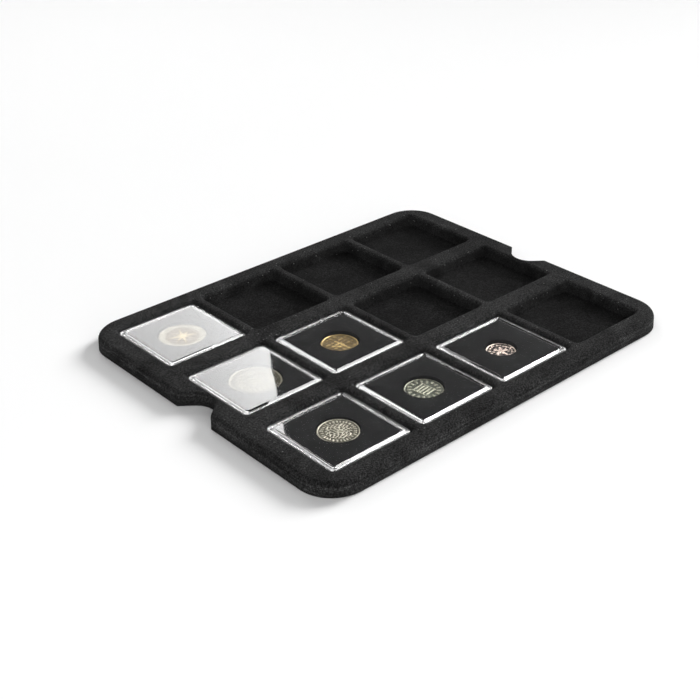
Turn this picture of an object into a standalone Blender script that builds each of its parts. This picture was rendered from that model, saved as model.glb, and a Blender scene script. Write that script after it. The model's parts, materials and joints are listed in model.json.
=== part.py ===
"""Coin display tray: a flocked tray with twelve square compartments, six of them holding a coin capsule.

World frame, in metres: +X runs along the tray's long side, +Y along its short side and +Z up.
The origin is the centre of the tray's footprint, on the surface that the tray stands on.
Each capsule is a clear base, a foam insert, a coin and a clear lid that snaps over the base.
"""

import math

import bmesh
import bpy
from mathutils import Vector

MM = 0.001
CLEARANCE = 0.3 * MM

# Tray: one formed sheet with a flocked surface
TRAY_LENGTH = 253.0 * MM
TRAY_WIDTH = 206.0 * MM
TRAY_HEIGHT = 8.6 * MM
SHEET = 1.4 * MM
SKIRT_LIFT = 0.5 * MM
PLAN_CORNER = 20.0 * MM
RIM_ROUNDING = 2.8 * MM
SKIRT_CREASE = 5.8 * MM
SKIRT_FLARE = 0.3 * MM

# Compartments: four columns along X by three rows along Y
COLUMNS = 4
ROWS = 3
COLUMN_PITCH = 58.0 * MM
ROW_PITCH = 65.0 * MM
CELL_TOP = 52.0 * MM
CELL_FLOOR = 51.2 * MM
CELL_CORNER = 2.4 * MM
CELL_LIP = 2.2 * MM
CELL_FOOT = 1.2 * MM

# Thumb notch in the middle of each short side
NOTCH_RADIUS = 11.0 * MM
NOTCH_DEPTH = 11.3 * MM
NOTCH_FLANK = math.radians(50)
NOTCH_LIP = 0.7 * MM

# Capsule: a square box of two clear halves round a foam insert
CAPSULE_SIDE = 50.0 * MM
CAPSULE_HEIGHT = 6.25 * MM
CAPSULE_CORNER = 1.8 * MM
PANE = 1.1 * MM
LID_WALL = 1.4 * MM
UPSTAND_WALL = 1.2 * MM
BASE_BEVEL = 0.5 * MM
LID_BEVEL_WIDTH = 2.1 * MM
LID_BEVEL_DROP = 0.8 * MM
LID_FRAME = 0.4 * MM
LID_STEP = 0.2 * MM

# Flat rings of each rounded corner and rounded edge
CORNER_STEPS = 4
EDGE_STEPS = 3
COIN_STEPS = 36
SHARP_ANGLE = math.radians(35)

# Each capsule's column, row, coin diameter, coin thickness and the coin's colour and roughness
CAPSULES = [
    (0, 2, 26.5, 2.0, (0.72, 0.62, 0.40), 0.35),
    (0, 1, 28.0, 2.1, (0.75, 0.73, 0.66), 0.40),
    (1, 1, 20.8, 1.5, (0.55, 0.38, 0.18), 0.45),
    (0, 0, 21.2, 2.7, (0.45, 0.43, 0.34), 0.50),
    (1, 0, 20.6, 1.8, (0.36, 0.38, 0.32), 0.50),
    (2, 0, 16.2, 1.5, (0.42, 0.34, 0.25), 0.45),
]

COIN_RIM = 1.0 * MM
COIN_RELIEF = 0.2 * MM
HOLE_CLEARANCE = 0.4 * MM

CELL_FLOOR_Z = SHEET
CAPSULE_Z = CELL_FLOOR_Z + CLEARANCE


def clear_scene():
    for obj in list(bpy.data.objects):
        bpy.data.objects.remove(obj, do_unlink=True)


def new_collection(name):
    collection = bpy.data.collections.new(name)
    bpy.context.scene.collection.children.link(collection)
    return collection


def make_material(name, color, roughness, metallic=0.0, alpha=1.0):
    material = bpy.data.materials.new(name)
    material.use_nodes = True
    shader = material.node_tree.nodes["Principled BSDF"]
    shader.inputs["Base Color"].default_value = (*color, 1.0)
    shader.inputs["Roughness"].default_value = roughness
    shader.inputs["Metallic"].default_value = metallic
    shader.inputs["Alpha"].default_value = alpha
    return material


def mesh_object(name, bm, collection):
    mesh = bpy.data.meshes.new(name)
    bmesh.ops.recalc_face_normals(bm, faces=bm.faces)
    bm.to_mesh(mesh)
    bm.free()
    mesh.shade_smooth()
    mesh.set_sharp_from_angle(angle=SHARP_ANGLE)
    obj = bpy.data.objects.new(name, mesh)
    collection.objects.link(obj)
    return obj


def rounded_rectangle(half_x, half_y, radius):
    """Plan outline of a rectangle with rounded corners, anticlockwise."""
    points = []
    for quarter in range(4):
        angle = math.radians(90 * quarter)
        sign_x = 1 if quarter in (0, 3) else -1
        sign_y = 1 if quarter in (0, 1) else -1
        center_x = sign_x * (half_x - radius)
        center_y = sign_y * (half_y - radius)
        for step in range(CORNER_STEPS + 1):
            turn = angle + math.radians(90) * step / CORNER_STEPS
            points.append((center_x + radius * math.cos(turn), center_y + radius * math.sin(turn)))
    return points


def loft(name, rings, collection):
    """Closed solid through a stack of outlines: rings is a list of (points, z), lowest first."""
    bm = bmesh.new()
    loops = [[bm.verts.new((x, y, z)) for x, y in points] for points, z in rings]
    for low, high in zip(loops, loops[1:]):
        for i in range(len(low)):
            bm.faces.new((low[i - 1], low[i], high[i], high[i - 1]))
    bm.faces.new(reversed(loops[0]))
    bm.faces.new(loops[-1])
    return mesh_object(name, bm, collection)


def edge_arc(radius, steps=EDGE_STEPS):
    """Pairs (inset, drop) down a rounded edge, from the wall to the flat face."""
    turns = [math.radians(90) * step / steps for step in range(steps + 1)]
    return [(radius * (1 - math.cos(turn)), radius * (1 - math.sin(turn))) for turn in turns]


def cut(target, cutter):
    modifier = target.modifiers.new("cut", "BOOLEAN")
    modifier.operation = "DIFFERENCE"
    modifier.solver = "EXACT"
    modifier.object = cutter
    cutter.hide_render = True
    cutter.display_type = "WIRE"


def place(obj, x, y):
    obj.location = Vector((x, y, 0.0))
    return obj


def cell_center(column, row):
    x = (column - (COLUMNS - 1) / 2) * COLUMN_PITCH
    y = (row - (ROWS - 1) / 2) * ROW_PITCH
    return x, y


# ---------------------------------------------------------------- tray


def skirt_half(z):
    """How far the skirt stands out at height z, past the tray's half size at the crease."""
    if z >= SKIRT_CREASE:
        return -SKIRT_FLARE
    return -SKIRT_FLARE * (z - SKIRT_LIFT) / (SKIRT_CREASE - SKIRT_LIFT)


def tray_outline(z, inset):
    grow = skirt_half(z) - inset
    half_x = TRAY_LENGTH / 2 + grow
    half_y = TRAY_WIDTH / 2 + grow
    return rounded_rectangle(half_x, half_y, PLAN_CORNER + grow)


def outer_rings():
    rings = [(tray_outline(SKIRT_LIFT, 0), 0.0)]
    rings.append((tray_outline(SKIRT_LIFT, 0), SKIRT_LIFT))
    rings.append((tray_outline(SKIRT_CREASE, 0), SKIRT_CREASE))
    for inset, drop in edge_arc(RIM_ROUNDING):
        z = TRAY_HEIGHT - drop
        if z > SKIRT_CREASE + 0.01 * MM:
            rings.append((tray_outline(z, inset), z))
    return rings


def core_rings():
    """Hollow under the sheet, with a wide foot that trims the skirt's lower edge."""
    below = -1.0 * MM
    foot = tray_outline(SKIRT_LIFT, -3.0 * MM)
    rings = [(foot, below), (foot, SKIRT_LIFT)]
    rings.append((tray_outline(SKIRT_LIFT, SHEET), SKIRT_LIFT))
    rings.append((tray_outline(SKIRT_CREASE, SHEET), SKIRT_CREASE))
    ceiling = TRAY_HEIGHT - SHEET
    for inset, drop in edge_arc(RIM_ROUNDING - SHEET, 2):
        z = ceiling - drop
        if z > SKIRT_CREASE + 0.01 * MM:
            rings.append((tray_outline(z, SHEET + inset), z))
    return rings


def cell_half(z):
    """Half the compartment's width at height z, between its slightly sloping walls."""
    share = (z - CELL_FLOOR_Z) / (TRAY_HEIGHT - CELL_FLOOR_Z)
    return (CELL_FLOOR + share * (CELL_TOP - CELL_FLOOR)) / 2


def cell_outline(z, grow):
    half = cell_half(z) + grow
    return rounded_rectangle(half, half, CELL_CORNER + max(grow, 0.0))


def cell_cutter(collection, index):
    rings = []
    for inset, rise in reversed(edge_arc(CELL_FOOT)):
        z = CELL_FLOOR_Z + rise
        rings.append((cell_outline(z, -inset), z))
    for inset, drop in edge_arc(CELL_LIP):
        z = TRAY_HEIGHT - drop
        rings.append((cell_outline(z, inset), z))
    above = TRAY_HEIGHT + 1.0 * MM
    rings.append((cell_outline(TRAY_HEIGHT, CELL_LIP), above))
    return loft(f"cell_cutter_{index}", rings, collection)


def cell_shell(collection, index):
    """The compartment grown by the sheet's thickness, which the hollow under the tray keeps clear of."""
    underside = cell_outline(CELL_FLOOR_Z, SHEET - CELL_FOOT)
    rings = [(underside, -2.0 * MM), (underside, 0.0)]
    rings.append((cell_outline(CELL_FLOOR_Z, SHEET), CELL_FOOT))
    rings.append((cell_outline(TRAY_HEIGHT, SHEET), TRAY_HEIGHT))
    return loft(f"cell_shell_{index}", rings, collection)


def notch_outline(grow):
    """Plan of a thumb notch at the +X end: a round bottom between two straight, flared flanks."""
    half_length = TRAY_LENGTH / 2
    center_x = half_length - NOTCH_DEPTH + NOTCH_RADIUS
    radius = NOTCH_RADIUS + grow
    steps = 2 * CORNER_STEPS + 2
    points = []
    for step in range(steps + 1):
        turn = math.pi - NOTCH_FLANK + 2 * NOTCH_FLANK * step / steps
        points.append((center_x + radius * math.cos(turn), radius * math.sin(turn)))
    outside = half_length + 4.0 * MM
    reach = (outside - points[0][0]) / math.tan(NOTCH_FLANK)
    points.append((outside, points[-1][1] - reach))
    points.append((outside, points[0][1] + reach))
    return points


def notch_cutter(collection, index):
    rings = [(notch_outline(0.0), 0.0)]
    for inset, drop in edge_arc(NOTCH_LIP, 2):
        rings.append((notch_outline(inset), TRAY_HEIGHT - drop))
    rings.append((notch_outline(NOTCH_LIP), TRAY_HEIGHT + 1.0 * MM))
    return loft(f"notch_cutter_{index}", rings, collection)


def notch_shell(collection, index):
    rings = [(notch_outline(SHEET), SKIRT_LIFT), (notch_outline(SHEET), TRAY_HEIGHT)]
    return loft(f"notch_shell_{index}", rings, collection)


def make_tray(parts, cutters):
    tray = loft("tray", outer_rings(), parts)
    core = loft("tray_core", core_rings(), cutters)
    for column in range(COLUMNS):
        for row in range(ROWS):
            index = column * ROWS + row
            x, y = cell_center(column, row)
            cut(core, place(cell_shell(cutters, index), x, y))
            cut(tray, place(cell_cutter(cutters, index), x, y))
    for index, turn in enumerate((0.0, math.pi)):
        shell = notch_shell(cutters, index)
        shell.rotation_euler.z = turn
        cut(core, shell)
        cutter = notch_cutter(cutters, index)
        cutter.rotation_euler.z = turn
        cut(tray, cutter)
    cut(tray, core)
    tray.data.materials.append(make_material("flocked_sheet", (0.02, 0.02, 0.022), 0.95))
    return tray


# ---------------------------------------------------------------- capsules


def square(half, radius):
    return rounded_rectangle(half, half, radius)


def capsule_levels():
    """Heights in a capsule: underside, top of the base pane, underside of the lid pane and top."""
    bottom = CAPSULE_Z
    top = CAPSULE_Z + CAPSULE_HEIGHT
    return bottom, bottom + PANE, top - PANE, top


def make_base(name, parts, material):
    """Clear pane with a square upstand, made as one cup and hollowed from above."""
    bottom, floor, ceiling, _ = capsule_levels()
    half = CAPSULE_SIDE / 2
    upstand = half - LID_WALL - CLEARANCE
    rings = [
        (square(half - BASE_BEVEL, CAPSULE_CORNER), bottom),
        (square(half, CAPSULE_CORNER), bottom + BASE_BEVEL),
        (square(half, CAPSULE_CORNER), floor),
        (square(upstand, CAPSULE_CORNER), floor),
        (square(upstand, CAPSULE_CORNER), ceiling - CLEARANCE),
        (square(upstand - UPSTAND_WALL, CAPSULE_CORNER / 2), ceiling - CLEARANCE),
        (square(upstand - UPSTAND_WALL, CAPSULE_CORNER / 2), floor),
    ]
    base = loft(name, rings, parts)
    base.data.materials.append(material)
    return base


def make_lid(name, parts, material):
    """Clear pane with a skirt that goes round the upstand, a bevelled edge and a low frame round the pane."""
    _, floor, ceiling, top = capsule_levels()
    half = CAPSULE_SIDE / 2
    inner = half - LID_WALL
    bevel = half - LID_BEVEL_WIDTH
    frame = bevel - LID_FRAME
    rings = [
        (square(inner, CAPSULE_CORNER), ceiling),
        (square(inner, CAPSULE_CORNER), floor + CLEARANCE),
        (square(half, CAPSULE_CORNER), floor + CLEARANCE),
        (square(half, CAPSULE_CORNER), top - LID_BEVEL_DROP),
        (square(bevel, CAPSULE_CORNER / 2), top),
        (square(frame, CAPSULE_CORNER / 2), top),
        (square(frame - LID_STEP, CAPSULE_CORNER / 2), top - LID_STEP),
    ]
    lid = loft(name, rings, parts)
    lid.data.materials.append(material)
    return lid


def turned(name, profile, steps, collection):
    """Solid turned about its own Z axis from a profile of (radius, z), top to bottom on its outer side."""
    bm = bmesh.new()
    verts = [bm.verts.new((radius, 0.0, z)) for radius, z in profile]
    for first, second in zip(verts, verts[1:]):
        bm.edges.new((first, second))
    mesh = bpy.data.meshes.new(name)
    bm.to_mesh(mesh)
    bm.free()
    obj = bpy.data.objects.new(name, mesh)
    collection.objects.link(obj)
    screw = obj.modifiers.new("turn", "SCREW")
    screw.axis = "Z"
    screw.steps = steps
    screw.render_steps = steps
    screw.use_merge_vertices = True
    screw.merge_threshold = 0.01 * MM
    screw.use_smooth_shade = True
    return obj


def make_insert(name, coin_radius, parts, cutters, material):
    """Foam square with a round hole for the coin, seen as the black ground of the capsule."""
    _, floor, ceiling, _ = capsule_levels()
    half = CAPSULE_SIDE / 2 - LID_WALL - UPSTAND_WALL - 2 * CLEARANCE
    low = floor + CLEARANCE
    high = ceiling - CLEARANCE
    outline = square(half, CAPSULE_CORNER / 2)
    insert = loft(name, [(outline, low), (outline, high)], parts)
    insert.data.materials.append(material)
    radius = coin_radius + HOLE_CLEARANCE
    profile = [(0.0, high + MM), (radius, high + MM), (radius, low - MM), (0.0, low - MM)]
    hole = turned(f"{name}_hole", profile, COIN_STEPS, cutters)
    cut(insert, hole)
    return insert, hole


def make_coin(name, radius, thickness, parts, material):
    """Struck disc with a raised rim on both faces."""
    _, floor, _, _ = capsule_levels()
    low = floor + CLEARANCE
    high = low + thickness
    field = radius - COIN_RIM
    profile = [
        (0.0, high - COIN_RELIEF),
        (field - COIN_RELIEF, high - COIN_RELIEF),
        (field, high),
        (radius - COIN_RELIEF, high),
        (radius, high - COIN_RELIEF),
        (radius, low + COIN_RELIEF),
        (radius - COIN_RELIEF, low),
        (field, low),
        (field - COIN_RELIEF, low + COIN_RELIEF),
        (0.0, low + COIN_RELIEF),
    ]
    coin = turned(name, profile, COIN_STEPS, parts)
    coin.data.materials.append(material)
    return coin


def make_capsules(parts, cutters):
    clear = make_material("clear_plastic", (0.95, 0.97, 0.98), 0.05, alpha=0.3)
    foam = make_material("black_foam", (0.025, 0.025, 0.027), 0.9)
    for number, (column, row, diameter, thickness, color, roughness) in enumerate(CAPSULES, start=1):
        x, y = cell_center(column, row)
        radius = diameter * MM / 2
        metal = make_material(f"coin_metal_{number}", color, roughness, metallic=1.0)
        insert, hole = make_insert(f"foam_insert_{number}", radius, parts, cutters, foam)
        pieces = [
            make_base(f"capsule_base_{number}", parts, clear),
            insert,
            hole,
            make_coin(f"coin_{number}", radius, thickness * MM, parts, metal),
            make_lid(f"capsule_lid_{number}", parts, clear),
        ]
        for piece in pieces:
            place(piece, x, y)


def main():
    clear_scene()
    parts = new_collection("coin_display_tray")
    cutters = new_collection("cutters")
    make_tray(parts, cutters)
    make_capsules(parts, cutters)


main()
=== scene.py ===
"""Looks of the coin display tray: flocked tray, clear capsules, foam inserts and struck coins."""

import json
import math
from typing import Callable, NamedTuple

import bmesh
import bpy
import numpy as np
from mathutils import Matrix, Quaternion, Vector


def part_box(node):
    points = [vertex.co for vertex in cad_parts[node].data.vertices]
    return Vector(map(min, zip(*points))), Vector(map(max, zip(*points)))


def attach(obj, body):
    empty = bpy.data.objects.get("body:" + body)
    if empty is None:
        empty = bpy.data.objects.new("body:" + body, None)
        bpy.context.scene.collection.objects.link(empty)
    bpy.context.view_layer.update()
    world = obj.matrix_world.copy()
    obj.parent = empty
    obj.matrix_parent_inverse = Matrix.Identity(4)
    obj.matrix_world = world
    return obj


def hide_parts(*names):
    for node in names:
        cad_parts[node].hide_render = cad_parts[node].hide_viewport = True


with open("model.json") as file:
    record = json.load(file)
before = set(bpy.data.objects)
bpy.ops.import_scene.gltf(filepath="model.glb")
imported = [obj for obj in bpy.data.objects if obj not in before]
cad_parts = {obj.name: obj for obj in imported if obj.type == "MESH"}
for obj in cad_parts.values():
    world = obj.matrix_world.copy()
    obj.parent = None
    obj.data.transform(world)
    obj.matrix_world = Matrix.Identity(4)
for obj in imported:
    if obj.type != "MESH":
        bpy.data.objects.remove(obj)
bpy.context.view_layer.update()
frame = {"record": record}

MM = 0.001

# ---------------------------------------------------------------- places from the frame

CAPSULE_NUMBERS = range(1, 7)


def node_box(node):
    """Lowest and highest corner of a CAD node."""
    low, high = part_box(node)
    return Vector(low), Vector(high)


def box_center(node):
    low, high = node_box(node)
    return (low + high) / 2


TRAY_LOW, TRAY_HIGH = node_box("tray")
TRAY_TOP = TRAY_HIGH.z
MOUNTS = frame["record"]["mounts"]
FLOOR_MOUNTS = [mount for mount in MOUNTS if mount["name"].startswith("compartment_floor")]
CELL_FLOOR_Z = FLOOR_MOUNTS[0]["pos_m"][2]
CAPSULE_CENTERS = {n: box_center(f"capsule_base_{n}") for n in CAPSULE_NUMBERS}

# Six compartments are empty, with a mount on the floor, and six hold a capsule
CELL_CENTERS = [(mount["pos_m"][0], mount["pos_m"][1]) for mount in FLOOR_MOUNTS]
CELL_CENTERS += [(center.x, center.y) for center in CAPSULE_CENTERS.values()]

# ---------------------------------------------------------------- mesh tools

SHARP_ANGLE = math.radians(38)
CLEAR_SHARP_ANGLE = math.radians(15)


def clamp(value):
    return min(max(value, 0.0), 1.0)


def link(obj):
    bpy.context.scene.collection.objects.link(obj)
    return obj


def mesh_object(name, bm, sharp=SHARP_ANGLE):
    """Object with smooth shading, and hard edges where faces meet at more than the sharp angle."""
    mesh = bpy.data.meshes.new(name)
    bmesh.ops.recalc_face_normals(bm, faces=bm.faces)
    bm.to_mesh(mesh)
    bm.free()
    mesh.shade_smooth()
    mesh.set_sharp_from_angle(angle=sharp)
    return link(bpy.data.objects.new(name, mesh))


def rounded_rectangle(half_x, half_y, radius, steps):
    """Plan outline of a rectangle with rounded corners, anticlockwise."""
    points = []
    for quarter in range(4):
        sign_x = 1 if quarter in (0, 3) else -1
        sign_y = 1 if quarter in (0, 1) else -1
        center_x = sign_x * (half_x - radius)
        center_y = sign_y * (half_y - radius)
        for step in range(steps + 1):
            turn = math.radians(90) * (quarter + step / steps)
            points.append((center_x + radius * math.cos(turn), center_y + radius * math.sin(turn)))
    return points


def loft(name, rings, closed=False, sharp=SHARP_ANGLE):
    """Solid through a stack of outlines (points, z), capped at both ends or closed on itself like a ring."""
    bm = bmesh.new()
    loops = [[bm.verts.new((x, y, z)) for x, y in points] for points, z in rings]
    pairs = list(zip(loops, loops[1:]))
    if closed:
        pairs.append((loops[-1], loops[0]))
    for low, high in pairs:
        for i in range(len(low)):
            bm.faces.new((low[i - 1], low[i], high[i], high[i - 1]))
    if not closed:
        bm.faces.new(reversed(loops[0]))
        bm.faces.new(loops[-1])
    return mesh_object(name, bm, sharp)


def edge_arc(radius, steps):
    """Pairs (inset, drop) over a rounded edge, from the wall to the flat face."""
    turns = [math.radians(90) * step / steps for step in range(steps + 1)]
    return [(radius * (1 - math.cos(turn)), radius * (1 - math.sin(turn))) for turn in turns]


def apply_modifiers(obj):
    """Keeps the mesh as its modifiers make it."""
    evaluated = obj.evaluated_get(bpy.context.evaluated_depsgraph_get())
    mesh = bpy.data.meshes.new_from_object(evaluated)
    obj.modifiers.clear()
    obj.data = mesh
    return obj


def subtract(target, cutters):
    """Cuts the cutters out of the target and removes them."""
    for cutter in cutters:
        modifier = target.modifiers.new("cut", "BOOLEAN")
        modifier.operation = "DIFFERENCE"
        modifier.solver = "EXACT"
        modifier.object = cutter
    apply_modifiers(target)
    for cutter in cutters:
        bpy.data.objects.remove(cutter, do_unlink=True)
    return target


# ---------------------------------------------------------------- materials


WHITE = (1.0, 1.0, 1.0)


def fill_ramp(node, stops):
    """Sets the stops of a colour ramp: pairs of a position and a colour or grey level."""
    elements = node.color_ramp.elements
    while len(elements) < len(stops):
        elements.new(0.5)
    for element, (position, color) in zip(elements, stops):
        element.position = position
        element.color = (*color, 1.0) if isinstance(color, tuple) else (color, color, color, 1.0)


class Nodes:
    """Short way to write a material: a call for a pattern adds its node and returns the output."""

    def __init__(self, name):
        self.material = bpy.data.materials.new(name)
        self.material.use_nodes = True
        self.tree = self.material.node_tree
        self.shader = self.tree.nodes["Principled BSDF"]
        coordinates = self.tree.nodes.new("ShaderNodeTexCoord")
        self.position = coordinates.outputs["Object"]

    def set(self, **values):
        for key, value in values.items():
            self.shader.inputs[key.replace("_", " ")].default_value = value

    def link(self, source, key):
        self.tree.links.new(source, self.shader.inputs[key])

    def noise(self, scale, detail=2.0, roughness=0.5, vector=None, distortion=0.0):
        node = self.tree.nodes.new("ShaderNodeTexNoise")
        node.inputs["Scale"].default_value = scale
        node.inputs["Detail"].default_value = detail
        node.inputs["Roughness"].default_value = roughness
        node.inputs["Distortion"].default_value = distortion
        self.tree.links.new(vector or self.position, node.inputs["Vector"])
        return node.outputs["Fac"]

    def voronoi(self, scale, output="Distance"):
        node = self.tree.nodes.new("ShaderNodeTexVoronoi")
        node.inputs["Scale"].default_value = scale
        self.tree.links.new(self.position, node.inputs["Vector"])
        return node.outputs[output]

    def attribute(self, name):
        node = self.tree.nodes.new("ShaderNodeAttribute")
        node.attribute_name = name
        return node.outputs["Fac"]

    def stretched(self, factors):
        """The position with each axis scaled, for patterns longer one way than another."""
        node = self.tree.nodes.new("ShaderNodeVectorMath")
        node.operation = "MULTIPLY"
        node.inputs[1].default_value = factors
        self.tree.links.new(self.position, node.inputs[0])
        return node.outputs["Vector"]

    def feed(self, socket, value):
        """Sets a socket to a number or a colour, or links an output to it."""
        if isinstance(value, (int, float)):
            socket.default_value = value
        elif isinstance(value, tuple):
            socket.default_value = (*value, 1.0)
        else:
            self.tree.links.new(value, socket)

    def ramp(self, factor, stops):
        node = self.tree.nodes.new("ShaderNodeValToRGB")
        fill_ramp(node, stops)
        self.tree.links.new(factor, node.inputs["Fac"])
        return node.outputs["Color"]

    def math(self, operation, first, second):
        node = self.tree.nodes.new("ShaderNodeMath")
        node.operation = operation
        self.feed(node.inputs[0], first)
        self.feed(node.inputs[1], second)
        return node.outputs["Value"]

    def mix(self, factor, first, second, blend="MIX"):
        """Mixes two colours: in this node's colour form they go into sockets 6 and 7 and come out of 2."""
        node = self.tree.nodes.new("ShaderNodeMix")
        node.data_type = "RGBA"
        node.blend_type = blend
        self.feed(node.inputs[0], factor)
        self.feed(node.inputs[6], first)
        self.feed(node.inputs[7], second)
        return node.outputs[2]

    def multiply(self, first, second):
        return self.mix(1.0, first, second, "MULTIPLY")

    def let_lamps_through(self, tint):
        """Rays that ask how much lamp light arrives pass straight through, so that what is inside is lit."""
        output = self.tree.nodes["Material Output"]
        path = self.tree.nodes.new("ShaderNodeLightPath")
        clear = self.tree.nodes.new("ShaderNodeBsdfTransparent")
        clear.inputs["Color"].default_value = (*tint, 1.0)
        mix = self.tree.nodes.new("ShaderNodeMixShader")
        self.tree.links.new(path.outputs["Is Shadow Ray"], mix.inputs[0])
        self.tree.links.new(self.shader.outputs[0], mix.inputs[1])
        self.tree.links.new(clear.outputs[0], mix.inputs[2])
        self.tree.links.new(mix.outputs[0], output.inputs["Surface"])

    def bump(self, height, strength, distance, normal=None):
        node = self.tree.nodes.new("ShaderNodeBump")
        node.inputs["Strength"].default_value = strength
        node.inputs["Distance"].default_value = distance
        self.tree.links.new(height, node.inputs["Height"])
        if normal is not None:
            self.tree.links.new(normal, node.inputs["Normal"])
        return node.outputs["Normal"]


def flock_material():
    """Black flock: short upright fibres and random brushed patches, with painted shade in the compartments
    and painted light on upright faces, lint mostly on the lips.
    """
    n = Nodes("black_flock")
    wall = n.attribute("wall")
    fibres = n.noise(1900.0, detail=3.0, roughness=0.75)
    clumps = n.noise(1050.0, detail=3.0, roughness=0.7)
    nap = n.noise(42.0, detail=4.0, roughness=0.6, distortion=0.8)
    streaks = n.noise(700.0, detail=3.0, roughness=0.6, vector=n.stretched((0.05, 0.05, 1.0)))

    deep, pale = (0.006, 0.006, 0.006), (0.040, 0.040, 0.040)
    flock = n.mix(n.ramp(fibres, [(0.36, 0.0), (0.64, 1.0)]), deep, pale)
    rough_tufts = n.ramp(clumps, [(0.40, 0.45), (0.64, 1.6)])
    even_tufts = n.ramp(clumps, [(0.40, 0.85), (0.64, 1.18)])
    tufts = n.mix(wall, rough_tufts, even_tufts)
    brushed = n.ramp(nap, [(0.36, 0.66), (0.66, 1.42)])
    combed = n.mix(n.attribute("skirt"), WHITE, n.ramp(streaks, [(0.38, 0.60), (0.62, 1.95)]))
    # Painted shading: compartment floors and walls darkened as painted shade, upright faces lightened as
    # painted light
    raised = n.ramp(n.attribute("raised"), [(0.0, 0.36), (0.25, 0.86), (1.0, 1.12)])
    for shade in (tufts, brushed, combed, raised):
        flock = n.multiply(flock, shade)

    lint_scale = 1000.0
    likelier = n.math("MULTIPLY", n.attribute("edge"), 0.07)
    chance = n.math("ADD", n.voronoi(lint_scale, "Color"), likelier)
    rare = n.ramp(chance, [(0.945, 0.0), (0.965, 1.0)])
    speck = n.ramp(n.voronoi(lint_scale), [(0.20, 1.0), (0.42, 0.0)])
    lint = (0.17, 0.17, 0.167)
    n.link(n.mix(n.math("MULTIPLY", speck, rare), flock, lint), "Base Color")
    n.set(Roughness=0.95, Specular_IOR_Level=0.03, Sheen_Weight=0.015, Sheen_Roughness=0.5)

    smoothed = n.math("SUBTRACT", 1.0, n.math("MULTIPLY", wall, 0.65))
    coarse = n.bump(n.math("MULTIPLY", clumps, smoothed), 0.45, 0.30 * MM)
    n.link(n.bump(n.math("MULTIPLY", fibres, smoothed), 0.8, 0.25 * MM, coarse), "Normal")
    return n.material


def clear_material():
    """Clear moulded polystyrene: panes faintly uneven from the mould, edges straight and slightly hazy."""
    n = Nodes("clear_polystyrene")
    n.set(Base_Color=(0.99, 0.99, 0.99, 1.0), IOR=1.59)
    wall = n.attribute("wall")
    n.link(n.math("SUBTRACT", 1.0, n.math("MULTIPLY", wall, 0.25)), "Transmission Weight")
    n.link(n.math("ADD", 0.02, n.math("MULTIPLY", wall, 0.25)), "Roughness")
    wave = n.math("MULTIPLY", n.noise(45.0, detail=2.0, roughness=0.45), n.attribute("pane"))
    n.link(n.bump(wave, 0.12, 0.4 * MM), "Normal")
    n.let_lamps_through((0.94, 0.94, 0.94))
    return n.material


def foam_material():
    """Fine closed-cell foam: charcoal with tiny pores."""
    n = Nodes("black_foam")
    pores = n.voronoi(1500.0)
    cloud = n.noise(160.0, detail=3.0)
    color = n.mix(n.ramp(cloud, [(0.3, 0.0), (0.7, 1.0)]), (0.008, 0.008, 0.0082), (0.012, 0.012, 0.0123))
    n.link(color, "Base Color")
    n.set(Roughness=0.95, Specular_IOR_Level=0.02)
    n.link(n.bump(pores, 0.35, 0.12 * MM), "Normal")
    return n.material


def floor_material():
    """Matt, nearly white sweep."""
    n = Nodes("studio_floor")
    n.link(n.mix(n.noise(3.0), (0.975, 0.975, 0.975), (0.985, 0.985, 0.985)), "Base Color")
    n.set(Roughness=0.75, Specular_IOR_Level=0.2)
    return n.material


def coin_material(name, look):
    """Struck metal: bright where it stands up, dark in the hollows and clouded by tarnish.

    The outer ring of a coin of two metals has a colour of its own.
    """
    n = Nodes(name)
    height = n.attribute("relief")
    cloud = n.noise(380.0, detail=4.0, roughness=0.6)
    spots = n.noise(1500.0, detail=3.0, roughness=0.7)
    metal = n.mix(n.ramp(height, [(0.12, 0.0), (0.70, 1.0)]), look.dark, look.light)
    clouded = n.math("MULTIPLY", n.ramp(cloud, [(0.42, 0.0), (0.70, 1.0)]), 0.45)
    stained = n.mix(clouded, metal, look.tarnish)
    two_metal = n.mix(n.attribute("ring"), stained, RING_METAL)
    n.link(n.multiply(two_metal, n.ramp(spots, [(0.36, 0.74), (0.64, 1.24)])), "Base Color")
    n.set(Metallic=1.0)
    n.link(n.ramp(spots, [(0.3, look.roughness - 0.08), (0.7, look.roughness + 0.10)]), "Roughness")
    n.link(n.bump(spots, 0.25, 0.05 * MM), "Normal")
    return n.material


# ---------------------------------------------------------------- tray

SHEET = CELL_FLOOR_Z - TRAY_LOW.z
SKIRT_LIFT = 0.5 * MM
PLAN_CORNER = 20.0 * MM
RIM_ROUNDING = 2.8 * MM
SKIRT_CREASE = 5.8 * MM
SKIRT_FLARE = 0.3 * MM
CELL_TOP = 52.0 * MM
CELL_FLOOR = 51.2 * MM
CELL_CORNER = 2.4 * MM
CELL_LIP = 2.2 * MM
CELL_FOOT = 1.2 * MM
NOTCH_RADIUS = 11.0 * MM
NOTCH_DEPTH = 11.3 * MM
NOTCH_FLANK = math.radians(50)
NOTCH_LIP = 0.7 * MM
NOTCH_MOUTH = 0.4 * MM
CREASE_SOFTNESS = 0.4 * MM
TRAY_HALF_X = (TRAY_HIGH.x - TRAY_LOW.x) / 2
TRAY_HALF_Y = (TRAY_HIGH.y - TRAY_LOW.y) / 2

# Steps round each corner in plan, and over each rounded edge
PLAN_STEPS = 16
CELL_STEPS = 7
NOTCH_STEPS = 20
MOUTH_STEPS = 5
RIM_STEPS = 9
LIP_STEPS = 7
SMALL_STEPS = 4

# How far the cutters reach past what they cut
OVERSHOOT = 1.0 * MM
SHELL_OVERSHOOT = 2.0 * MM
FOOT_OVERSHOOT = 3.0 * MM
NOTCH_OVERSHOOT = 5.0 * MM
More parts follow.
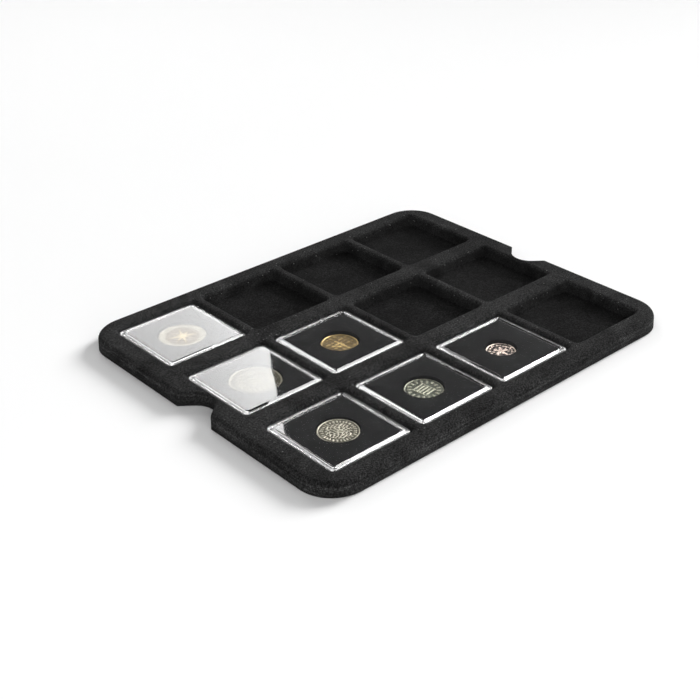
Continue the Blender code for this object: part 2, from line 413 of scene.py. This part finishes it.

# Painted shading of the flock: its level on flat faces and on compartment walls, the depth below the rim
# over which the walls darken into painted shade, and the blends
PAINTED_FLAT_LEVEL = 0.68
PAINTED_WALL_LEVEL = 0.25
PAINTED_SHADE_FALL = 3.0 * MM
WALL_BLEND = 0.4 * MM
LIP_BLEND = 0.3 * MM
RIM_MARGIN = 0.1 * MM
LIP_MARGIN = 0.2 * MM


def tray_outline(z, inset):
    """Plan of the tray at height z: upright above the crease, flared a little below it."""
    flare = SKIRT_FLARE * clamp((z - SKIRT_LIFT) / (SKIRT_CREASE - SKIRT_LIFT))
    grow = -flare - inset
    return rounded_rectangle(TRAY_HALF_X + grow, TRAY_HALF_Y + grow, PLAN_CORNER + grow, PLAN_STEPS)


def outer_form():
    """The tray's outside: upright foot, flared skirt up to the crease and rounded rim."""
    foot = tray_outline(SKIRT_LIFT, 0)
    rings = [(foot, TRAY_LOW.z), (foot, SKIRT_LIFT)]
    rings += [(tray_outline(z, 0), z) for z in (SKIRT_CREASE - CREASE_SOFTNESS, SKIRT_CREASE)]
    for inset, drop in edge_arc(RIM_ROUNDING, RIM_STEPS)[1:]:
        z = TRAY_TOP - drop
        rings.append((tray_outline(z, inset), z))
    return loft("flocked_tray", rings)


def under_form():
    """Hollow under the sheet, with a wide foot that trims the skirt's lower edge."""
    below = TRAY_LOW.z - OVERSHOOT
    foot = tray_outline(SKIRT_LIFT, -FOOT_OVERSHOOT)
    rings = [(foot, below), (foot, SKIRT_LIFT), (tray_outline(SKIRT_LIFT, SHEET), SKIRT_LIFT)]
    rings.append((tray_outline(SKIRT_CREASE, SHEET), SKIRT_CREASE))
    for inset, drop in edge_arc(RIM_ROUNDING - SHEET, SMALL_STEPS)[1:]:
        z = TRAY_TOP - SHEET - drop
        rings.append((tray_outline(z, SHEET + inset), z))
    return loft("under_form", rings)


def cell_outline(z, grow, center):
    """Plan of a compartment at height z, between its slightly sloping walls."""
    share = (z - CELL_FLOOR_Z) / (TRAY_TOP - CELL_FLOOR_Z)
    half = (CELL_FLOOR + share * (CELL_TOP - CELL_FLOOR)) / 2 + grow
    points = rounded_rectangle(half, half, CELL_CORNER + max(grow, 0.0), CELL_STEPS)
    return [(x + center[0], y + center[1]) for x, y in points]


def cell_form(center):
    """The room inside a compartment, with a rounded foot and a wide rounded lip."""
    rings = []
    for inset, rise in reversed(edge_arc(CELL_FOOT, SMALL_STEPS)):
        z = CELL_FLOOR_Z + rise
        rings.append((cell_outline(z, -inset, center), z))
    for inset, drop in edge_arc(CELL_LIP, LIP_STEPS):
        z = TRAY_TOP - drop
        rings.append((cell_outline(z, inset, center), z))
    rings.append((cell_outline(TRAY_TOP, CELL_LIP, center), TRAY_TOP + OVERSHOOT))
    return loft("cell_form", rings)


def cell_shell(center):
    """The compartment grown by the sheet's thickness, kept out of the hollow under the tray."""
    underside = cell_outline(CELL_FLOOR_Z, SHEET - CELL_FOOT, center)
    rings = [(underside, TRAY_LOW.z - SHELL_OVERSHOOT), (underside, TRAY_LOW.z)]
    rings.append((cell_outline(CELL_FLOOR_Z, SHEET, center), TRAY_LOW.z + CELL_FOOT))
    rings.append((cell_outline(TRAY_TOP, SHEET, center), TRAY_TOP))
    return loft("cell_shell", rings)


def arc_points(center, radius, start, end, steps):
    turns = [start + (end - start) * step / steps for step in range(steps + 1)]
    return [(center[0] + radius * math.cos(turn), center[1] + radius * math.sin(turn)) for turn in turns]


def notch_outline(grow, side):
    """Plan of a thumb notch: a round bottom, two straight flared flanks and rounded mouth corners."""
    center_x = TRAY_HALF_X - NOTCH_DEPTH + NOTCH_RADIUS
    radius = NOTCH_RADIUS + grow
    mouth = NOTCH_MOUTH - grow
    rim = TRAY_HALF_X - SKIRT_FLARE
    flank = (math.sin(NOTCH_FLANK), math.cos(NOTCH_FLANK))
    normal = (-math.cos(NOTCH_FLANK), math.sin(NOTCH_FLANK))
    tangent = (center_x + radius * normal[0], radius * normal[1])
    corner_x = rim - NOTCH_MOUTH
    along = (corner_x - tangent[0] - mouth * normal[0]) / flank[0]
    corner = (corner_x, tangent[1] + along * flank[1] + mouth * normal[1])
    bottom = arc_points((center_x, 0.0), radius, math.pi - NOTCH_FLANK, math.pi + NOTCH_FLANK, NOTCH_STEPS)
    upper = arc_points(corner, mouth, 0.0, NOTCH_FLANK - math.pi / 2, MOUTH_STEPS)
    outside = TRAY_HALF_X + NOTCH_OVERSHOOT
    lower = [(x, -y) for x, y in upper]
    outline = bottom + lower[::-1] + [(outside, lower[0][1]), (outside, upper[0][1])] + upper
    return [(side * x, side * y) for x, y in outline]


def notch_form(side):
    """What a thumb notch takes away at the -X or +X end, with a rounded upper edge."""
    rings = [(notch_outline(0.0, side), TRAY_LOW.z - OVERSHOOT)]
    for inset, drop in edge_arc(NOTCH_LIP, SMALL_STEPS):
        rings.append((notch_outline(inset, side), TRAY_TOP - drop))
    rings.append((notch_outline(NOTCH_LIP, side), TRAY_TOP + OVERSHOOT))
    return loft("notch_form", rings)


def notch_shell(side):
    """The notch grown by the sheet's thickness, kept out of the hollow under the tray."""
    outline = notch_outline(SHEET, side)
    return loft("notch_shell", [(outline, SKIRT_LIFT), (outline, TRAY_TOP)])


def mark_flock_and_painted_shade(tray):
    """Stores a painted shading level at each point (painted shade in the compartments, painted light on
    upright faces), and where the walls, the skirt and the lips are.
    """
    names = ("raised", "wall", "skirt", "edge")
    for name in names:
        tray.data.attributes.new(name, "FLOAT", "POINT")
    raised, wall, skirt, edge = (tray.data.attributes[name].data for name in names)
    half = CELL_TOP / 2
    for index, vertex in enumerate(tray.data.vertices):
        x, y, z = vertex.co
        below = TRAY_TOP - z
        outside = min(max(abs(x - cx), abs(y - cy)) - half for cx, cy in CELL_CENTERS)
        inside = clamp((WALL_BLEND - outside) / WALL_BLEND)
        upright = (1.0 - abs(vertex.normal.z)) ** 2
        # Painted shade: full on compartment floors, weaker up the walls and gone at the rim; painted light:
        # upright faces lighter than flat ones
        unshaded_lip = clamp(1.0 - below / PAINTED_SHADE_FALL) ** 2
        on_wall = clamp((z - CELL_FLOOR_Z) / CELL_FOOT)
        lit_share = 1.0 - inside * (1.0 - max(unshaded_lip, PAINTED_WALL_LEVEL * on_wall))
        on_lip = -RIM_MARGIN < below < CELL_LIP and -LIP_MARGIN < outside < CELL_LIP
        raised[index].value = lit_share * (PAINTED_FLAT_LEVEL + (1.0 - PAINTED_FLAT_LEVEL) * upright)
        wall[index].value = inside * on_wall * clamp(below / LIP_BLEND)
        skirt[index].value = upright * (1.0 - inside)
        edge[index].value = 1.0 if on_lip else 0.0


def make_tray():
    """Formed sheet: the outside less the compartments, the notches and the hollow underneath."""
    sides = (1, -1)
    shells = [cell_shell(center) for center in CELL_CENTERS] + [notch_shell(side) for side in sides]
    hollow = subtract(under_form(), shells)
    cutters = [cell_form(center) for center in CELL_CENTERS] + [notch_form(side) for side in sides]
    tray = subtract(outer_form(), cutters + [hollow])
    mark_flock_and_painted_shade(tray)
    tray.data.materials.append(flock_material())
    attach(tray, "tray")
    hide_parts("tray")
    return tray


# ---------------------------------------------------------------- capsules

CAPSULE_CORNER = 1.8 * MM
LID_WALL = 1.4 * MM
UPSTAND_WALL = 1.2 * MM
GAP = 0.3 * MM
PANE = 1.1 * MM
LID_BEVEL_WIDTH = 2.1 * MM
LID_BEVEL_DROP = 0.8 * MM
LID_FRAME = 0.4 * MM
LID_STEP = 0.2 * MM
BASE_BEVEL = 0.5 * MM
CORNER_STEPS = 6

# Small roundings of the moulded edges
SOFT = 0.12 * MM
SHOULDER_ROUNDING = 0.45 * MM
SHOULDER_STEPS = 5
TOP_ROUNDING = 0.6 * MM
TOP_STEPS = 2

# A point this close to the outer face counts as part of the wall
SURFACE = 0.05 * MM

# Foam insert: hole for the coin, and its upper edge as pairs (inset, drop)
HOLE_CLEARANCE = 0.4 * MM
HOLE_ROUNDING = 0.35 * MM
HOLE_STEPS = 160
INSERT_EDGE = [(0.0, 0.3 * MM), (0.1 * MM, 0.08 * MM), (0.3 * MM, 0.0)]


def square(half, radius):
    return rounded_rectangle(half, half, radius, CORNER_STEPS)


def place(obj, center):
    """Moves a mesh made round the origin to a capsule's centre."""
    obj.data.transform(Matrix.Translation((center.x, center.y, 0.0)))
    return obj


def mark_clear(obj, half, pane):
    """Stores which points belong to the pane and which to the upright outer wall."""
    names = ("pane", "wall")
    for name in names:
        obj.data.attributes.new(name, "FLOAT", "POINT")
    panes, walls = (obj.data.attributes[name].data for name in names)
    for index, vertex in enumerate(obj.data.vertices):
        reach = max(abs(vertex.co.x), abs(vertex.co.y))
        panes[index].value = 1.0 if reach < pane else 0.0
        walls[index].value = 1.0 if reach > half - SURFACE else 0.0


def make_base(n, material):
    """Clear pane with a square upstand that the lid goes round."""
    low, high = node_box(f"capsule_base_{n}")
    half = (high.x - low.x) / 2
    floor = low.z + PANE
    upstand = half - LID_WALL - GAP
    inner = upstand - UPSTAND_WALL
    rings = [
        (square(half - BASE_BEVEL, CAPSULE_CORNER), low.z),
        (square(half - SOFT, CAPSULE_CORNER), low.z + BASE_BEVEL - SOFT),
        (square(half, CAPSULE_CORNER), low.z + BASE_BEVEL),
        (square(half, CAPSULE_CORNER), floor - SOFT),
        (square(half - SOFT, CAPSULE_CORNER), floor),
        (square(upstand, CAPSULE_CORNER), floor),
        (square(upstand, CAPSULE_CORNER), high.z - SOFT),
        (square(upstand - SOFT, CAPSULE_CORNER), high.z),
        (square(inner + SOFT, CAPSULE_CORNER / 2), high.z),
        (square(inner, CAPSULE_CORNER / 2), high.z - SOFT),
        (square(inner, CAPSULE_CORNER / 2), floor),
    ]
    base = loft(f"base_{n}", rings, sharp=CLEAR_SHARP_ANGLE)
    mark_clear(base, half, inner)
    place(base, CAPSULE_CENTERS[n])
    base.data.materials.append(material)
    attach(base, f"capsule_{n}")
    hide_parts(f"capsule_base_{n}")
    return base


def lid_edge(half, top):
    """Pairs (half width, z) up the lid's outer edge: rounded shoulder, bevel and a softer top edge."""
    slope = math.atan2(LID_BEVEL_DROP, LID_BEVEL_WIDTH)
    pairs = []
    shoulder = (half, top - LID_BEVEL_DROP)
    ledge = (half - LID_BEVEL_WIDTH, top)
    for radius, corner, start, end, steps in (
        (SHOULDER_ROUNDING, shoulder, 0.0, math.pi / 2 - slope, SHOULDER_STEPS),
        (TOP_ROUNDING, ledge, math.pi / 2 - slope, math.pi / 2, TOP_STEPS),
    ):
        tangent = radius * math.tan((end - start) / 2)
        first = (corner[0] + tangent * math.sin(start), corner[1] - tangent * math.cos(start))
        center = (first[0] - radius * math.cos(start), first[1] - radius * math.sin(start))
        for step in range(steps + 1):
            turn = start + (end - start) * step / steps
            pairs.append((center[0] + radius * math.cos(turn), center[1] + radius * math.sin(turn)))
    return pairs


def make_lid(n, material):
    """Clear pane with a skirt, a bevelled edge and a low frame round the pane."""
    low, high = node_box(f"capsule_lid_{n}")
    half = (high.x - low.x) / 2
    top = high.z
    inner = half - LID_WALL
    frame_edge = half - LID_BEVEL_WIDTH - LID_FRAME
    rings = [
        (square(inner, CAPSULE_CORNER), top - PANE),
        (square(inner, CAPSULE_CORNER), low.z + SOFT),
        (square(inner + SOFT, CAPSULE_CORNER), low.z),
        (square(half - SOFT, CAPSULE_CORNER), low.z),
        (square(half, CAPSULE_CORNER), low.z + SOFT),
    ]
    rings += [(square(reach, CAPSULE_CORNER), z) for reach, z in lid_edge(half, top)]
    rings += [
        (square(frame_edge, CAPSULE_CORNER / 2), top),
        (square(frame_edge - LID_STEP, CAPSULE_CORNER / 2), top - LID_STEP),
    ]
    lid = loft(f"lid_{n}", rings, sharp=CLEAR_SHARP_ANGLE)
    mark_clear(lid, half, frame_edge - LID_STEP / 2)
    place(lid, CAPSULE_CENTERS[n])
    lid.data.materials.append(material)
    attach(lid, f"lid_{n}")
    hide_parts(f"capsule_lid_{n}")
    return lid


def square_point(turn, half, radius):
    """Where the ray at this angle leaves a square with rounded corners."""
    ray = Vector((math.cos(turn), math.sin(turn)))
    point = ray * (half / max(abs(ray.x), abs(ray.y)))
    straight = half - radius
    if min(abs(point.x), abs(point.y)) > straight:
        corner = Vector((math.copysign(straight, ray.x), math.copysign(straight, ray.y)))
        middle = corner.dot(ray)
        point = ray * (middle + math.sqrt(middle * middle - corner.length_squared + radius * radius))
    return point.x, point.y


def make_insert(n, material):
    """Foam square with a round hole whose edge is slightly rounded."""
    low, high = node_box(f"foam_insert_{n}")
    half = (high.x - low.x) / 2
    coin_low, coin_high = node_box(f"coin_{n}")
    hole = (coin_high.x - coin_low.x) / 2 + HOLE_CLEARANCE
    turns = [2 * math.pi * (step + 0.5) / HOLE_STEPS for step in range(HOLE_STEPS)]
    outline = [square_point(turn, half, CAPSULE_CORNER / 2) for turn in turns]

    def circle(radius):
        return [(radius * math.cos(turn), radius * math.sin(turn)) for turn in turns]

    def shrink(inset):
        return [(x * (1 - inset / half), y * (1 - inset / half)) for x, y in outline]

    rings = [(circle(hole), low.z), (outline, low.z)]
    rings += [(shrink(inset), high.z - drop) for inset, drop in INSERT_EDGE]
    hole_edge = reversed(edge_arc(HOLE_ROUNDING, SMALL_STEPS))
    rings += [(circle(hole + inset), high.z - drop) for inset, drop in hole_edge]
    insert = place(loft(f"insert_{n}", rings, closed=True), CAPSULE_CENTERS[n])
    insert.data.materials.append(material)
    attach(insert, f"capsule_{n}")
    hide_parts(f"foam_insert_{n}")
    return insert


# ---------------------------------------------------------------- coins

# The rows of points lie a little closer together towards the rim
RADIAL_STEPS = 56
RADIAL_POWER = 0.9
AROUND_STEPS = 200

# Where a coin of two metals changes, as a share of its radius
RING_JOINT = 0.70
JOINT_WIDTH = 0.02
RING_METAL = (0.17, 0.155, 0.112)

# Milled edge: how many ribs, and their depth as a share of the radius
MILLING_COUNT = 90
MILLING_DEPTH = 0.004
COIN_SHARP_ANGLE = math.radians(60)


def smooth(value, low, high):
    """0 below low, 1 above high and a soft step between; works on arrays."""
    share = np.clip((value - low) / (high - low), 0.0, 1.0)
    return share * share * (3 - 2 * share)


def dots(radius, angle, ring, count, size):
    """A ring of beads."""
    pitch = 2 * math.pi / count
    offset = (angle + pitch / 2) % pitch - pitch / 2
    distance = np.hypot(radius - ring, offset * ring)
    return 1 - smooth(distance, size * 0.45, size)


def leaves(radius, angle, ring, count, length, width):
    """A wreath of pointed leaves that lean along the ring."""
    pitch = 2 * math.pi / count
    offset = ((angle + pitch / 2) % pitch - pitch / 2) * ring
    across = (radius - ring) - 0.45 * offset
    shape = np.abs(offset) / length + np.abs(across) / width
    return 1 - smooth(shape, 0.55, 1.0)


def bar(x, y, x0, x1, y0, y1, soft=0.025):
    """Upright rectangle with soft edges."""
    inside = smooth(x, x0 - soft, x0 + soft) * (1 - smooth(x, x1 - soft, x1 + soft))
    return inside * smooth(y, y0 - soft, y0 + soft) * (1 - smooth(y, y1 - soft, y1 + soft))


def disc(x, y, cx, cy, radius, soft=0.03):
    """Round spot with a soft edge."""
    return 1 - smooth(np.hypot(x - cx, y - cy), radius - soft, radius + soft)


def compass_rose(r, a, x, y):
    """Rose of four long and four short rays with a small boss, inside a plain ring."""
    rays = np.zeros_like(r)
    for offset, length, width in ((0.0, 0.66, 0.080), (math.pi / 4, 0.50, 0.065)):
        quarter = (a + offset + math.pi / 4) % (math.pi / 2) - math.pi / 4
        along = r * np.cos(quarter)
        across = np.abs(r * np.sin(quarter))
        half_width = width * (1 - along / length)
        rays = np.maximum(rays, 1 - smooth(across - half_width, -0.02, 0.02))
    joint = np.abs(r - RING_JOINT)
    body = np.maximum(0.8 * rays * (1 - smooth(r, 0.64, 0.67)), 0.8 * disc(x, y, 0, 0, 0.09))
    return body - 0.6 * (1 - smooth(joint, 0.008, 0.022)) + 0.15 * dots(r, a, 0.83, 12, 0.035)


def wreath(r, a, x, y):
    """Leaf wreath round a rosette."""
    rosette = 1 - smooth(r - 0.30 * (1 + 0.35 * np.cos(6 * a)), -0.03, 0.03)
    petals = rosette * (1 - 0.4 * disc(x, y, 0, 0, 0.1))
    ring = leaves(r, a, 0.66, 22, 0.11, 0.10) + leaves(r, a + 0.14, 0.50, 16, 0.10, 0.08)
    return 0.45 * petals + 0.7 * ring + 0.5 * dots(r, a, 0.86, 60, 0.028)


def sail(r, a, x, y):
    """Small boat with two sails on a calm sea, in low relief."""
    hull = bar(x, y - 0.25 * x * x, -0.42, 0.38, -0.34, -0.20)
    above_hull = smooth(y, -0.17, -0.12)
    left = (1 - smooth(-x * 1.1 + y * 0.55, 0.22, 0.27)) * (1 - smooth(x, -0.05, 0.0)) * above_hull
    left = left * (1 - smooth(y, 0.5, 0.56))
    right = (1 - smooth(x * 1.5 + y * 0.8, 0.30, 0.36)) * smooth(x, 0.02, 0.06) * above_hull
    sea = (1 - smooth(y, -0.46, -0.38)) * (1 - smooth(r, 0.72, 0.78))
    waves = 0.5 + 0.5 * np.cos(26 * y + 1.6 * np.sin(9 * x))
    return 0.55 * np.clip(hull + left + right, 0, 1) + 0.2 * waves * sea


def thicket(r, a, x, y):
    """Tangle of worn branches round a boss, inside a border of short strokes of uneven length."""
    bend = np.sin(17 * x + 2.6 * np.sin(6 * y)) * np.sin(15 * y + 2.3 * np.sin(7 * x + 1.0))
    branches = (1 - smooth(np.abs(bend), 0.25, 0.60)) * (1 - smooth(r, 0.60, 0.66))
    boss = disc(x, y, 0.05, -0.05, 0.20) * (0.6 + 0.4 * np.cos(7 * a))
    stroke = np.abs((a * 30 / math.pi + 0.35 * np.sin(5 * a)) % 2 - 1)
    length = 0.84 + 0.02 * np.sin(9 * a)
    border = smooth(r, 0.69, 0.71) * (1 - smooth(r, length, length + 0.03))
    strokes = (1 - smooth(stroke, 0.42, 0.62)) * border
    return 0.85 * np.clip(branches + boss, 0, 1) + 0.8 * strokes


def portico(r, a, x, y):
    """Row of columns between two beams, with a border of short rays."""
    total = bar(x, y, -0.45, 0.45, 0.33, 0.40) + bar(x, y, -0.5, 0.5, -0.42, -0.34)
    for k in range(5):
        cx = -0.38 + 0.19 * k
        total += bar(x, y, cx - 0.040, cx + 0.040, -0.34, 0.33)
    ray = np.abs((a * 17 / math.pi) % 2 - 1)
    rays = (1 - smooth(ray, 0.34, 0.52)) * smooth(r, 0.62, 0.65) * (1 - smooth(r, 0.83, 0.87))
    return 0.9 * np.clip(total, 0, 1) + 0.75 * rays


def star(r, a, x, y):
    """Small worn coin: rough star in a beaded ring."""
    points = 0.34 * (1 + 0.5 * np.cos(5 * a + 0.4))
    ripple = 0.35 * np.sin(13 * x + 2 * np.sin(9 * y)) * np.sin(15 * y + 1.7 * np.sin(8 * x))
    worn_field = ripple * (1 - smooth(r, 0.85, 0.9))
    return 0.9 * (1 - smooth(r - points, -0.05, 0.05)) + 0.8 * dots(r, a, 0.72, 22, 0.075) + worn_field


class CoinLook(NamedTuple):
    """How a coin is struck, worn and coloured; rim is a share of its radius and wear of its relief."""

    motif: Callable
    turn: float
    depth: float
    rim: float
    wear: float
    light: tuple
    dark: tuple
    tarnish: tuple
    roughness: float
    two_metals: bool = False


COIN_LOOKS = {
    1: CoinLook(
        motif=compass_rose,
        turn=0.35,
        depth=0.22 * MM,
        rim=0.07,
        wear=0.10,
        light=(0.34, 0.27, 0.135),
        dark=(0.055, 0.032, 0.004),
        tarnish=(0.10, 0.062, 0.012),
        roughness=0.44,
        two_metals=True,
    ),
    2: CoinLook(
        motif=wreath,
        turn=0.2,
        depth=0.22 * MM,
        rim=0.06,
        wear=0.03,
        light=(0.215, 0.20, 0.155),
        dark=(0.030, 0.026, 0.014),
        tarnish=(0.14, 0.13, 0.095),
        roughness=0.44,
    ),
    3: CoinLook(
        motif=sail,
        turn=0.7,
        depth=0.24 * MM,
        rim=0.07,
        wear=0.85,
        light=(0.52, 0.38, 0.165),
        dark=(0.11, 0.078, 0.036),
        tarnish=(0.21, 0.155, 0.075),
        roughness=0.42,
    ),
    4: CoinLook(
        motif=thicket,
        turn=0.6,
        depth=0.28 * MM,
        rim=0.05,
        wear=0.35,
        light=(0.31, 0.295, 0.24),
        dark=(0.052, 0.048, 0.036),
        tarnish=(0.12, 0.112, 0.085),
        roughness=0.42,
    ),
    5: CoinLook(
        motif=portico,
        turn=1.45,
        depth=0.25 * MM,
        rim=0.05,
        wear=0.40,
        light=(0.25, 0.247, 0.19),
        dark=(0.056, 0.060, 0.048),
        tarnish=(0.105, 0.108, 0.084),
        roughness=0.42,
    ),
    6: CoinLook(
        motif=star,
        turn=0.3,
        depth=0.30 * MM,
        rim=0.06,
        wear=0.75,
        light=(0.80, 0.67, 0.58),
        dark=(0.014, 0.011, 0.010),
        tarnish=(0.028, 0.021, 0.017),
        roughness=0.30,
    ),
}


def coin_relief(n, look, r, a):
    """Height of a coin's face, up to 1: the motif inside a rim that stands up, both of them worn unevenly.
    """
    turned = a + look.turn
    x, y = r * np.cos(turned), r * np.sin(turned)
    phases = np.random.default_rng(n).uniform(0, 2 * math.pi, 6)
    rough = 0
    for k in range(3):
        rough = rough + np.sin((9 + 5 * k) * x + phases[k]) * np.sin((11 + 4 * k) * y + phases[-k - 1]) / 3
    rim = smooth(r, 1 - look.rim - 0.03, 1 - look.rim + 0.01) * (1 - 0.6 * smooth(r, 0.975, 1.0))
    struck = np.maximum(look.motif(r, turned % (2 * math.pi), x, y), rim)
    return np.clip(struck + look.wear * rough * (1 - 0.8 * rim), -0.3, 1.0)


def make_coin(n, look):
    """Struck coin: both faces carry the motif as real relief inside a rim that stands up, edge milled."""
    low, high = node_box(f"coin_{n}")
    shares = (np.arange(1, RADIAL_STEPS + 1) / RADIAL_STEPS) ** RADIAL_POWER
    angles = np.arange(AROUND_STEPS) * 2 * math.pi / AROUND_STEPS
    r, a = np.meshgrid(shares, angles, indexing="ij")
    relief = coin_relief(n, look, r, a)
    middle = relief[0].mean()
    ringed = smooth(r, RING_JOINT, RING_JOINT + JOINT_WIDTH) if look.two_metals else np.zeros_like(r)
    milling = MILLING_DEPTH * (0.5 + 0.5 * np.cos(a * MILLING_COUNT)) * smooth(r, 0.97, 1.0)
    distance = (high.x - low.x) / 2 * r * (1 - milling)
    xs, ys = distance * np.cos(a), distance * np.sin(a)
    bm = bmesh.new()
    relief_layer = bm.verts.layers.float.new("relief")
    ring_layer = bm.verts.layers.float.new("ring")
    edges = []
    for side, base in ((1, high.z), (-1, low.z)):
        zs = base - side * look.depth * (1 - relief)
        center = bm.verts.new((0, 0, base - side * look.depth * (1 - middle)))
        center[relief_layer] = middle
        rows = []
        for i in range(RADIAL_STEPS):
            row = [bm.verts.new((xs[i, j], side * ys[i, j], zs[i, j])) for j in range(AROUND_STEPS)]
            for j, vert in enumerate(row):
                vert[relief_layer] = relief[i, j]
                vert[ring_layer] = ringed[i, j]
            rows.append(row)
        for j in range(AROUND_STEPS):
            bm.faces.new((center, rows[0][j - 1], rows[0][j]))
        for inner, outer in zip(rows, rows[1:]):
            for j in range(AROUND_STEPS):
                bm.faces.new((inner[j - 1], outer[j - 1], outer[j], inner[j]))
        edges.append(rows[-1])
    top, bottom = edges
    for j in range(AROUND_STEPS):
        bm.faces.new((top[j - 1], bottom[1 - j], bottom[-j], top[j]))
    coin = place(mesh_object(f"struck_coin_{n}", bm, COIN_SHARP_ANGLE), CAPSULE_CENTERS[n])
    coin.data.materials.append(coin_material(f"struck_metal_{n}", look))
    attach(coin, f"capsule_{n}")
    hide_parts(f"coin_{n}")
    return coin


# ---------------------------------------------------------------- studio

FLOOR_SIZE = 6.0

# Brightness across the panel that capsules 1 and 2 mirror, as a share of its strength
GLARE_LEVELS = [(0.0, 1.62), (0.06, 1.42), (0.13, 1.19), (0.2, 1.06), (0.3, 0.97), (0.4, 0.88)]

# The backdrop's brightness from the horizon (0) to straight above (1)
SWEEP_LEVELS = [(0.0, 1.0), (0.10, 0.9), (0.24, 0.055), (1.0, 0.055)]


def make_floor():
    """Large pale sheet at the height that the tray stands on."""
    bm = bmesh.new()
    bmesh.ops.create_grid(bm, x_segments=4, y_segments=4, size=FLOOR_SIZE)
    floor = mesh_object("studio_floor", bm)
    floor.location.z = TRAY_LOW.z
    floor.data.materials.append(floor_material())


def add_softbox(name, radiance, direction, distance, size, aim=(0, 0, 0), shift=(0, 0), turn=0.0):
    """Rectangular softbox that faces the aim point, shifted and turned in its own plane."""
    width, height = size
    data = bpy.data.lights.new(name, "AREA")
    data.shape = "RECTANGLE"
    data.size = width
    data.size_y = height
    data.energy = radiance * math.pi * width * height
    light = link(bpy.data.objects.new(name, data))
    away = Vector(direction).normalized()
    light.rotation_mode = "QUATERNION"
    light.rotation_quaternion = away.to_track_quat("Z", "Y")
    offset = light.rotation_quaternion @ Vector((shift[0], shift[1], 0.0))
    light.rotation_quaternion = light.rotation_quaternion @ Quaternion((0.0, 0.0, 1.0), turn)
    light.location = Vector(aim) + away * distance + offset
    return light


def add_sun(name, strength, direction, angle):
    """Lamp at no particular distance, whose angle gives the shadow its softness."""
    data = bpy.data.lights.new(name, "SUN")
    data.energy = strength
    data.angle = angle
    light = link(bpy.data.objects.new(name, data))
    light.rotation_mode = "QUATERNION"
    light.rotation_quaternion = Vector(direction).to_track_quat("Z", "Y")
    return light


def grade(light, levels):
    """Grades a softbox across its width: pairs of a place and a level, with the first edge at 0."""
    light.data.use_nodes = True
    tree = light.data.node_tree
    surface = tree.nodes.new("ShaderNodeNewGeometry")
    split = tree.nodes.new("ShaderNodeSeparateXYZ")
    ramp = tree.nodes.new("ShaderNodeValToRGB")
    brightest = max(level for _, level in levels)
    fill_ramp(ramp, [(position, level / brightest) for position, level in levels])
    tree.links.new(surface.outputs["Parametric"], split.inputs[0])
    tree.links.new(split.outputs["X"], ramp.inputs["Fac"])
    tree.links.new(ramp.outputs["Color"], tree.nodes["Emission"].inputs["Color"])
    light.data.energy *= brightest


def make_lights():
    """Low key from +X for the soft shadow, softboxes above and behind for the clear edges and panes."""
    add_sun("key_sun", strength=3.25, direction=(0.908, 0.0, 0.419), angle=math.radians(23))
    add_softbox("side_softbox", 2.3, direction=(0.82, -0.10, 0.57), distance=1.2, size=(0.6, 0.5))
    for name, direction, size in (
        ("edge_softbox", (0.57, -0.08, 0.81), (1.2, 0.46)),
        ("back_strip", (-0.36, 0.68, 0.64), (0.40, 0.30)),
    ):
        card = add_softbox(name, 10.0, direction, distance=1.2, size=size)
        card.visible_diffuse = False
    glare_card = add_softbox(
        "glare_softbox",
        2.7,
        direction=(0.476, 0.742, 0.485),
        distance=1.2,
        size=(0.614, 0.66),
        aim=(-0.087, 0.065, 0.008),
        shift=(0.159, 0.27),
        turn=math.radians(5.7),
    )
    grade(glare_card, GLARE_LEVELS)
    add_softbox("left_fill", 1.35, direction=(-0.70, -0.20, 0.68), distance=1.5, size=(1.2, 1.2))
    add_softbox("front_fill", 1.95, direction=(-0.18, -0.88, 0.43), distance=1.5, size=(1.2, 1.2))
    make_world()


def make_world():
    """White sweep: bright at the horizon and dim above it."""
    world = bpy.data.worlds.new("studio")
    world.use_nodes = True
    tree = world.node_tree
    direction = tree.nodes.new("ShaderNodeTexCoord")
    split = tree.nodes.new("ShaderNodeSeparateXYZ")
    ramp = tree.nodes.new("ShaderNodeValToRGB")
    fill_ramp(ramp, SWEEP_LEVELS)
    tree.links.new(direction.outputs["Generated"], split.inputs[0])
    tree.links.new(split.outputs["Z"], ramp.inputs["Fac"])
    tree.links.new(ramp.outputs["Color"], tree.nodes["Background"].inputs["Color"])
    bpy.context.scene.world = world


def make_camera():
    """Camera at the photographed viewing angle, looking down on the tray from its front left corner."""
    azimuth = math.radians(-41.31)
    elevation = math.radians(30.03)
    roll = math.radians(-0.92)
    distance = 0.6744
    target = Vector((-0.0342, -0.0144, 9.2 * MM))
    level = math.cos(elevation)
    back = Vector((math.sin(azimuth) * level, -math.cos(azimuth) * level, math.sin(elevation)))
    right = Vector((math.cos(azimuth), math.sin(azimuth), 0.0))
    up = back.cross(right)
    turned_right = right * math.cos(roll) + up * math.sin(roll)
    turned_up = up * math.cos(roll) - right * math.sin(roll)
    data = bpy.data.cameras.new("camera")
    data.lens = 65.16
    data.clip_start = 0.01
    data.clip_end = 20.0
    camera = link(bpy.data.objects.new("camera", data))
    axes = Matrix((turned_right, turned_up, back)).transposed()
    camera.matrix_world = Matrix.Translation(target + back * distance) @ axes.to_4x4()
    bpy.context.scene.camera = camera


def main():
    make_camera()
    make_floor()
    make_lights()
    make_tray()
    clear = clear_material()
    foam = foam_material()
    for n in CAPSULE_NUMBERS:
        make_base(n, clear)
        make_lid(n, clear)
        make_insert(n, foam)
    for n, look in COIN_LOOKS.items():
        make_coin(n, look)
    bpy.context.scene.view_settings.view_transform = "Standard"


main()
